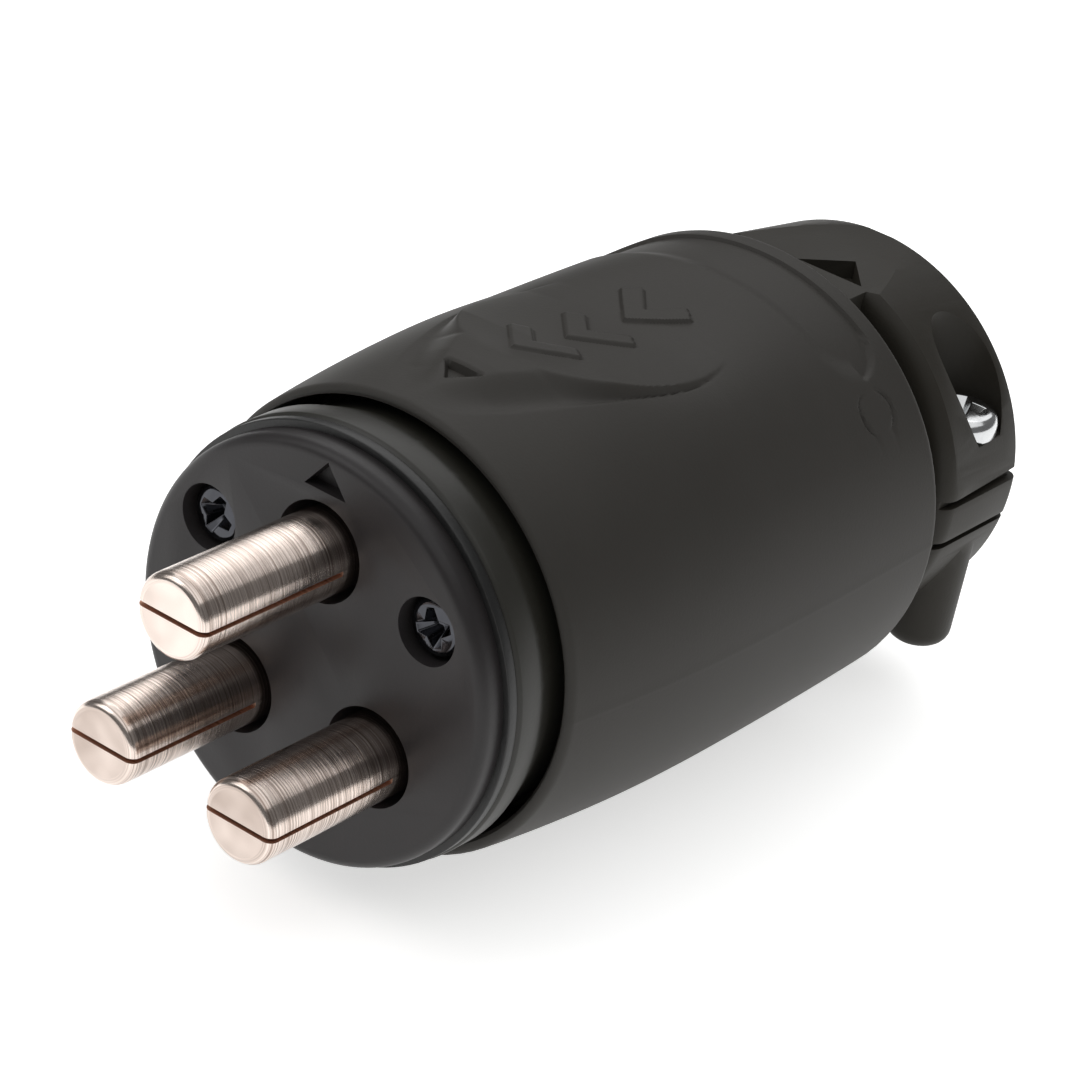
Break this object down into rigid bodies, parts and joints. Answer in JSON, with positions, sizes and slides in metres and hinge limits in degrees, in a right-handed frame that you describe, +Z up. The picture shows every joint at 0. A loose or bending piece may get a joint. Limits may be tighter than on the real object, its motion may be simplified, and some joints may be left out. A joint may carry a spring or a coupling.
{
  "type": "locking power plug",
  "caption": "Heavy-duty round power plug with split pin contacts, a bulged grip sleeve and a two-half cord clamp, lying on its side.",
  "frame": {"origin": "centre of the front face of the contact carrier, on the plug's axis", "axes": "+Y along the plug's axis from the pins to the cord clamp, +X to the right seen from the pins' side, +Z up, towards the top pin and the thumb dish; the plug lies on its side"},
  "size_m": [0.0483, 0.1013, 0.0481],
  "materials": {
    "carrier_plastic": "satin moulded glass-filled nylon",
    "shell_plastic": "satin moulded nylon",
    "clamp_plastic": "matte moulded nylon",
    "grip_rubber": "soft matte moulded elastomer",
    "seal_rubber": "smooth moulded rubber",
    "contact_nickel": "nickel-plated turned brass",
    "insert_brass": "turned brass",
    "zinc_steel": "bright zinc-plated steel",
    "black_screw_steel": "black-plated steel"
  },
  "bodies": {
    "root": {"contact_carrier": "carrier_plastic", "carrier_seal": "seal_rubber", "body_shell": "shell_plastic", "pin_retainer": "shell_plastic", "contact_pin_top": "contact_nickel", "contact_pin_left": "contact_nickel", "contact_pin_right": "contact_nickel", "terminal_screw_top": "black_screw_steel", "terminal_screw_left": "black_screw_steel", "terminal_screw_right": "black_screw_steel", "face_screw_left": "black_screw_steel", "face_screw_right": "black_screw_steel", "face_insert_left": "insert_brass", "face_insert_right": "insert_brass", "grip_sleeve": "grip_rubber", "clamp_upper": "clamp_plastic", "clamp_lower": "clamp_plastic", "clamp_screw_left": "zinc_steel", "clamp_screw_right": "zinc_steel", "clamp_insert_left": "insert_brass", "clamp_insert_right": "insert_brass", "cord_grommet": "seal_rubber"}
  },
  "joints": []
}
